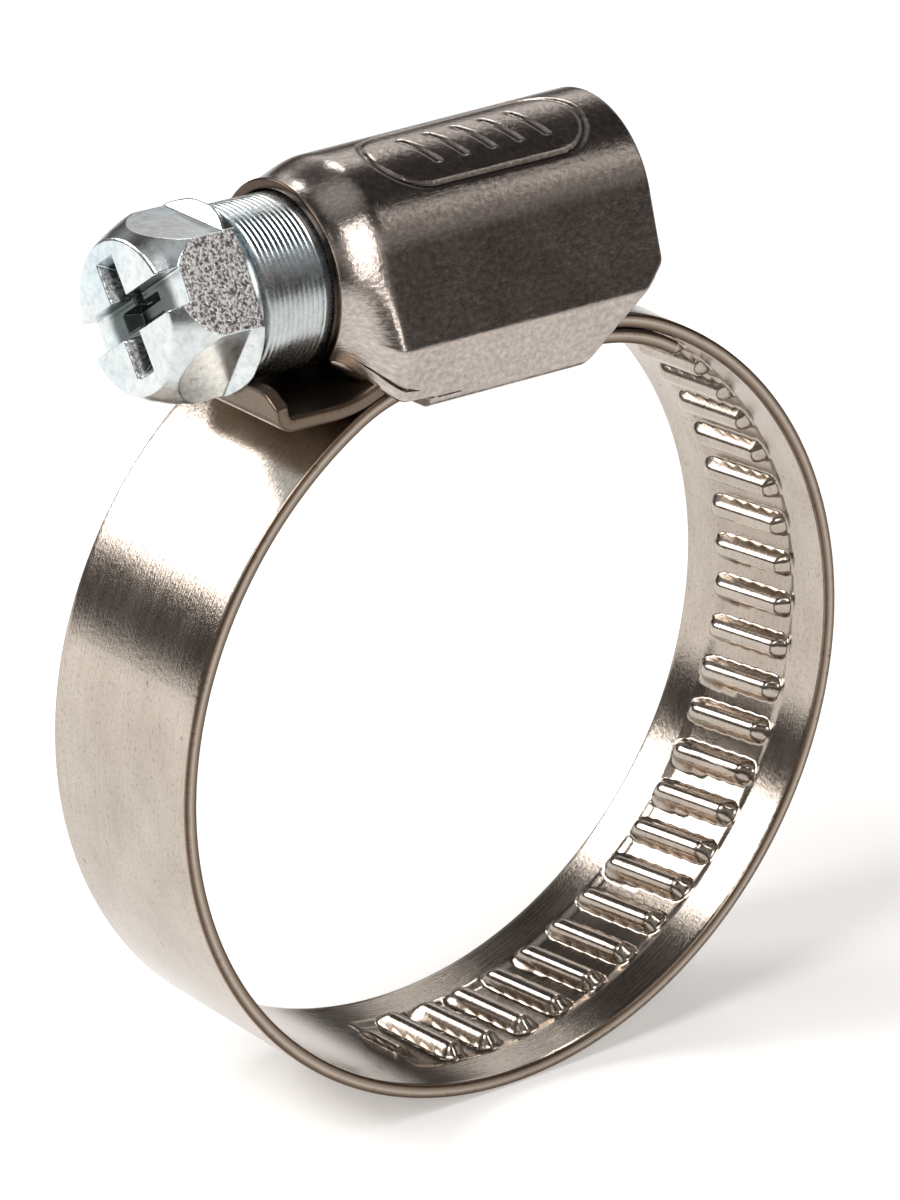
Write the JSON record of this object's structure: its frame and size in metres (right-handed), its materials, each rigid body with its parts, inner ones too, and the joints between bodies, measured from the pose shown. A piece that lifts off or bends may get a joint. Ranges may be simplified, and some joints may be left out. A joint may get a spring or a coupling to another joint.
{
  "type": "hose clamp",
  "caption": "Worm-drive hose clamp with an embossed band, a pressed housing and a hexagon screw that winds the band tighter.",
  "frame": {"origin": "centre of the round opening, which is the hose axis, midway along the band's width", "axes": "+Y along the hose, +Z from the hose axis up to the housing, X along the worm screw with the head at -X"},
  "size_m": [0.0336, 0.0106, 0.0405],
  "materials": {
    "band": "bright rolled stainless strip, fine grain along the length",
    "housing": "pressed stainless sheet, lightly mottled",
    "screw": "bright bluish zinc plating, slightly mottled on the flats"
  },
  "bodies": {
    "housing": {"housing": "housing", "band_anchor": "band"},
    "worm": {"worm_screw": "screw"},
    "band_01": {"band_01": "band"},
    "band_02": {"band_02": "band"},
    "band_03": {"band_03": "band"},
    "band_04": {"band_04": "band"},
    "band_05": {"band_05": "band"},
    "band_06": {"band_06": "band"},
    "band_07": {"band_07": "band"},
    "band_08": {"band_08": "band"},
    "band_09": {"band_09": "band"},
    "band_10": {"band_10": "band"},
    "band_11": {"band_11": "band", "band_12": "band"}
  },
  "joints": [
    {"name": "worm_turn", "type": "hinge", "parent": "housing", "child": "worm", "pos_m": [-0.005, 0, 0.0191], "axis": [1, 0, 0], "range_deg": [0, 7200]},
    {"name": "bend_01", "type": "hinge", "parent": "housing", "child": "band_01", "pos_m": [-0.0054, 0, 0.01522], "axis": [0, -1, 0], "range_deg": [-1, 18.02], "deforming": ["band_01"]},
    {"name": "bend_02", "type": "hinge", "parent": "band_01", "child": "band_02", "pos_m": [-0.01368, 0, 0.00931], "axis": [0, -1, 0], "range_deg": [-1.1, 23.1], "deforming": ["band_02"]},
    {"name": "bend_03", "type": "hinge", "parent": "band_02", "child": "band_03", "pos_m": [-0.01654, 0, -0.00058], "axis": [0, -1, 0], "range_deg": [-1.18, 24.8], "deforming": ["band_03"]},
    {"name": "bend_04", "type": "hinge", "parent": "band_03", "child": "band_04", "pos_m": [-0.01299, 0, -0.01025], "axis": [0, -1, 0], "range_deg": [-1, 19.88], "deforming": ["band_04"]},
    {"name": "bend_05", "type": "hinge", "parent": "band_04", "child": "band_05", "pos_m": [-0.00441, 0, -0.01595], "axis": [0, -1, 0], "range_deg": [-1, 16.54], "deforming": ["band_05"]},
    {"name": "bend_06", "type": "hinge", "parent": "band_05", "child": "band_06", "pos_m": [0.00323, 0, -0.01623], "axis": [0, -1, 0], "range_deg": [-1.37, 28.68], "deforming": ["band_06"]},
    {"name": "bend_07", "type": "hinge", "parent": "band_06", "child": "band_07", "pos_m": [0.01163, 0, -0.01177], "axis": [0, -1, 0], "range_deg": [-1, 8.82], "deforming": ["band_07"]},
    {"name": "bend_08", "type": "hinge", "parent": "band_07", "child": "band_08", "pos_m": [0.01619, 0, -0.00342], "axis": [0, -1, 0], "range_deg": [-1.12, 23.64], "deforming": ["band_08"]},
    {"name": "bend_09", "type": "hinge", "parent": "band_08", "child": "band_09", "pos_m": [0.0154, 0, 0.00606], "axis": [0, -1, 0], "range_deg": [-1, 13.56], "deforming": ["band_09"]},
    {"name": "bend_10", "type": "hinge", "parent": "band_09", "child": "band_10", "pos_m": [0.00952, 0, 0.01354], "axis": [0, -1, 0], "range_deg": [-1, 4.88], "deforming": ["band_10"]},
    {"name": "bend_11", "type": "hinge", "parent": "band_10", "child": "band_11", "pos_m": [0.0004, 0, 0.01589], "axis": [0, -1, 0], "range_deg": [-1.03, 21.64], "deforming": ["band_11", "band_12"]}
  ],
  "couplings": [
    {"joint": "bend_01", "follows": "worm_turn", "ratio": 0.0023637},
    {"joint": "bend_02", "follows": "worm_turn", "ratio": 0.0030557},
    {"joint": "bend_03", "follows": "worm_turn", "ratio": 0.0032798},
    {"joint": "bend_04", "follows": "worm_turn", "ratio": 0.0026216},
    {"joint": "bend_05", "follows": "worm_turn", "ratio": 0.0021578},
    {"joint": "bend_06", "follows": "worm_turn", "ratio": 0.0037931},
    {"joint": "bend_07", "follows": "worm_turn", "ratio": 0.0010858},
    {"joint": "bend_08", "follows": "worm_turn", "ratio": 0.0031264},
    {"joint": "bend_09", "follows": "worm_turn", "ratio": 0.001744},
    {"joint": "bend_10", "follows": "worm_turn", "ratio": 0.00053927},
    {"joint": "bend_11", "follows": "worm_turn", "ratio": 0.0028621}
  ]
}
